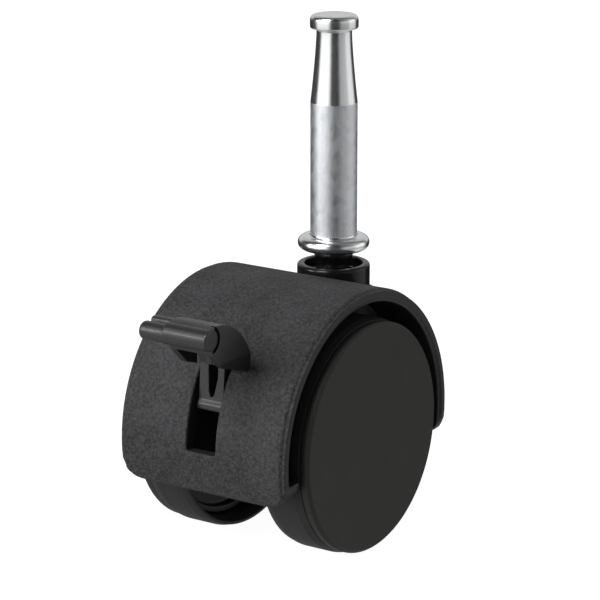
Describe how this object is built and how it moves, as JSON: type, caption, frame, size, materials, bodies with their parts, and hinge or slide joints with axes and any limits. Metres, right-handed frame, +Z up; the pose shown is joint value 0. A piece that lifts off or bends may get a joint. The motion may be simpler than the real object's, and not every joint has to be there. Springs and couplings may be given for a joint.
{
  "type": "twin-wheel chair caster",
  "caption": "Hooded twin-wheel swivel caster with a grip-neck steel stem and a foot-operated brake lever in the hood.",
  "frame": {"origin": "on the swivel axis, in the plane of the stem's shoulder (the top face of its flange)", "axes": "+Z up the stem, +X along the wheel axle to the right wheel, -Y towards the brake lever"},
  "size_m": [0.0352, 0.0589, 0.0875],
  "materials": {
    "bright_zinc": "bright zinc plate, turned",
    "spring_steel": "plain spring steel",
    "gloss_black_nylon": "polished black nylon",
    "hood_black_nylon": "fine spark-eroded texture, black",
    "cover_black_nylon": "satin black, fine grain",
    "tread_black": "smooth soft tread, dark grey-black",
    "core_black_nylon": "as-moulded black nylon",
    "lever_black_nylon": "semi-gloss black nylon",
    "natural_nylon": "unpigmented nylon"
  },
  "bodies": {
    "stem_body": {"stem": "bright_zinc", "stem_snap_ring": "spring_steel"},
    "housing": {"hood": "hood_black_nylon", "stem_socket": "gloss_black_nylon", "thrust_ball": "bright_zinc", "axle": "bright_zinc", "axle_clip_left": "spring_steel", "axle_clip_right": "spring_steel", "thrust_washer_left": "natural_nylon", "thrust_washer_right": "natural_nylon", "detent_spring": "spring_steel", "spring_pin": "bright_zinc"},
    "wheel_left": {"tyre_left": "tread_black", "wheel_core_left": "core_black_nylon", "wheel_cover_left": "cover_black_nylon"},
    "wheel_right": {"tyre_right": "tread_black", "wheel_core_right": "core_black_nylon", "wheel_cover_right": "cover_black_nylon"},
    "lever": {"brake_lever": "lever_black_nylon"},
    "bar": {"lock_bar": "bright_zinc"}
  },
  "joints": [
    {"name": "swivel", "type": "hinge", "parent": "stem_body", "child": "housing", "pos_m": [0, 0, 0], "axis": [0, 0, 1], "continuous": true},
    {"name": "wheel_left_spin", "type": "hinge", "parent": "housing", "child": "wheel_left", "pos_m": [0, -0.0142, -0.02945], "axis": [1, 0, 0], "continuous": true},
    {"name": "wheel_right_spin", "type": "hinge", "parent": "housing", "child": "wheel_right", "pos_m": [0, -0.0142, -0.02945], "axis": [1, 0, 0], "continuous": true},
    {"name": "brake_lever_turn", "type": "hinge", "parent": "housing", "child": "lever", "pos_m": [0, -0.0142, -0.02945], "axis": [1, 0, 0], "range_deg": [0, 15]},
    {"name": "lock_bar_slide", "type": "slide", "parent": "housing", "child": "bar", "axis": [0, 0, -1], "range_m": [0, 0.00181]}
  ],
  "couplings": [
    {"joint": "lock_bar_slide", "follows": "brake_lever_turn", "m_per_rad": 0.006875}
  ]
}
